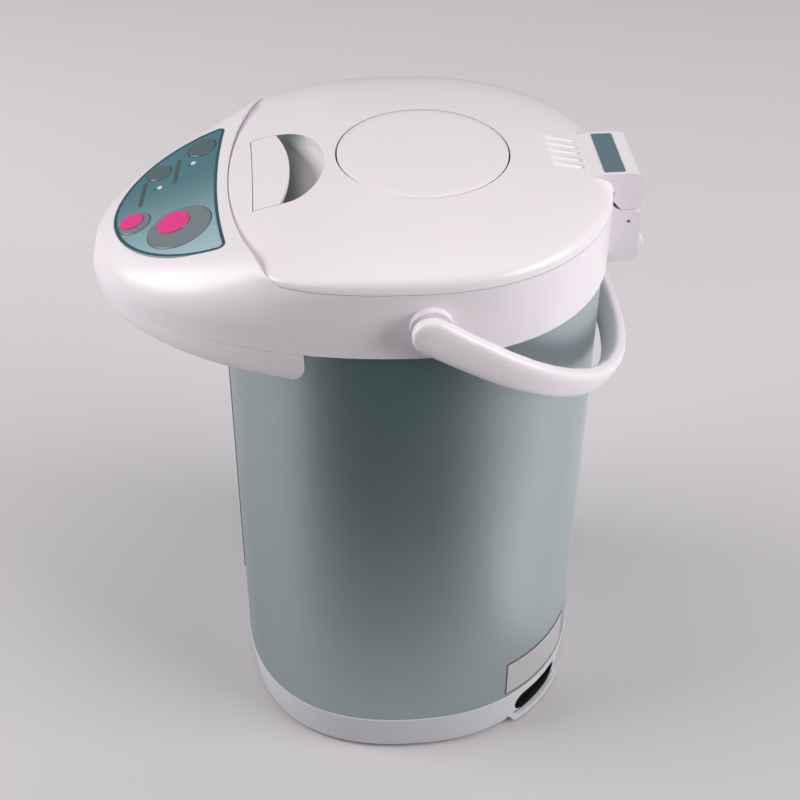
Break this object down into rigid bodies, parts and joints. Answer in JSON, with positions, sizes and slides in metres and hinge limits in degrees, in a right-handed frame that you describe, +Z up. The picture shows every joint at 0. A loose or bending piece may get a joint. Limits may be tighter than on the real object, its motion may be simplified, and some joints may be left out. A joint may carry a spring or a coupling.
{
  "type": "electric thermo pot",
  "caption": "Insulated electric hot-water pot with a spout nose and key panel, a hinged lid with an air-pump plate and latch, a level window and a folding bail handle.",
  "frame": {"origin": "where the body's vertical axis meets the table, on the underside of the foot ring", "axes": "+Z up; the spout nose points to -Y, the lid hinge is at +Y, and the cord inlet is at the back on the +X side"},
  "size_m": [0.2138, 0.2656, 0.3273],
  "materials": {
    "white_plastic": "smooth semi-gloss moulding",
    "grey_metal": "satin grey-green",
    "stainless": "satin",
    "black_rubber": "matt",
    "black_plastic": "matt",
    "grey_plastic": "matt",
    "clear_plastic": "milky",
    "heat_plastic": "matt",
    "teal_plastic": "gloss",
    "teal_panel": "gloss film",
    "magenta_key": "gloss film",
    "grey_key": "gloss film",
    "clear_window": "clear moulded window",
    "lens": "clear tip",
    "silicone": "soft, matt",
    "felt": "felted wool",
    "heater": "banded mica",
    "brass": "bright",
    "screw_steel": "plated",
    "circuit_board": "lacquered"
  },
  "bodies": {
    "pot": {"base_ring": "white_plastic", "bottom_cover": "white_plastic", "foot_ring": "black_rubber", "base_screws": "screw_steel", "inlet_socket": "black_plastic", "inlet_pins": "brass", "power_board": "circuit_board", "pump_motor": "screw_steel", "pump_housing": "clear_plastic", "riser_tube": "silicone", "spout_pipe": "silicone", "spout_nozzle": "grey_plastic", "pot_cradle": "heat_plastic", "inner_pot": "stainless", "insulation_jacket": "felt", "heater_band": "heater", "thermostat": "black_plastic", "pot_seal": "silicone", "body_shell": "grey_metal", "window_frame": "teal_plastic", "level_window": "clear_window", "upper_housing": "white_plastic", "lid_seat": "white_plastic", "nose_cover": "white_plastic", "control_panel": "teal_panel", "key_board": "circuit_board", "key_switches": "black_plastic", "led_lenses": "lens", "hinge_bracket": "white_plastic", "hinge_pin": "stainless", "handle_pins": "white_plastic"},
    "dispense": {"dispense_key": "magenta_key"},
    "unlock": {"unlock_key": "magenta_key"},
    "boil": {"boil_key": "grey_key"},
    "keep_warm": {"keep_warm_key": "grey_key"},
    "release": {"lid_release": "white_plastic"},
    "bail": {"handle": "white_plastic", "handle_caps": "white_plastic"},
    "lid": {"lid_cover": "white_plastic", "lid_base": "white_plastic", "lid_screws": "screw_steel", "steam_valve": "white_plastic", "inner_lid": "stainless", "lid_gasket": "silicone", "latch_pin": "stainless", "latch_spring": "screw_steel", "pump_bellows": "silicone", "press_spring": "screw_steel"},
    "press": {"press_plate": "white_plastic"},
    "latch": {"latch_lever": "white_plastic"}
  },
  "joints": [
    {"name": "lid_hinge", "type": "hinge", "parent": "pot", "child": "lid", "pos_m": [0, 0.103, 0.295], "axis": [-1, 0, 0], "range_deg": [0, 85]},
    {"name": "press_slide", "type": "slide", "parent": "lid", "child": "press", "axis": [0, 0, -1], "range_m": [0, 0.016], "stiffness_N_per_m": 1500, "deforming": ["pump_bellows", "press_spring"]},
    {"name": "latch_tilt", "type": "hinge", "parent": "lid", "child": "latch", "pos_m": [0, -0.0705, 0.3158], "axis": [1, 0, 0], "range_deg": [0, 20], "stiffness_Nm_per_rad": 0.3},
    {"name": "handle_swing", "type": "hinge", "parent": "pot", "child": "bail", "pos_m": [0, 0, 0.295], "axis": [1, 0, 0], "range_deg": [0, 195]},
    {"name": "dispense_press", "type": "slide", "parent": "pot", "child": "dispense", "axis": [0, 0.3223, -0.9466], "range_m": [0, 0.0008], "stiffness_N_per_m": 1500},
    {"name": "unlock_press", "type": "slide", "parent": "pot", "child": "unlock", "axis": [0, 0.3223, -0.9466], "range_m": [0, 0.0008], "stiffness_N_per_m": 1500},
    {"name": "boil_press", "type": "slide", "parent": "pot", "child": "boil", "axis": [0, 0.3223, -0.9466], "range_m": [0, 0.0008], "stiffness_N_per_m": 1500},
    {"name": "keep_warm_press", "type": "slide", "parent": "pot", "child": "keep_warm", "axis": [0, 0.3223, -0.9466], "range_m": [0, 0.0008], "stiffness_N_per_m": 1500},
    {"name": "release_slide", "type": "slide", "parent": "pot", "child": "release", "axis": [0, -1, 0], "range_m": [0, 0.0025], "stiffness_N_per_m": 1200}
  ]
}
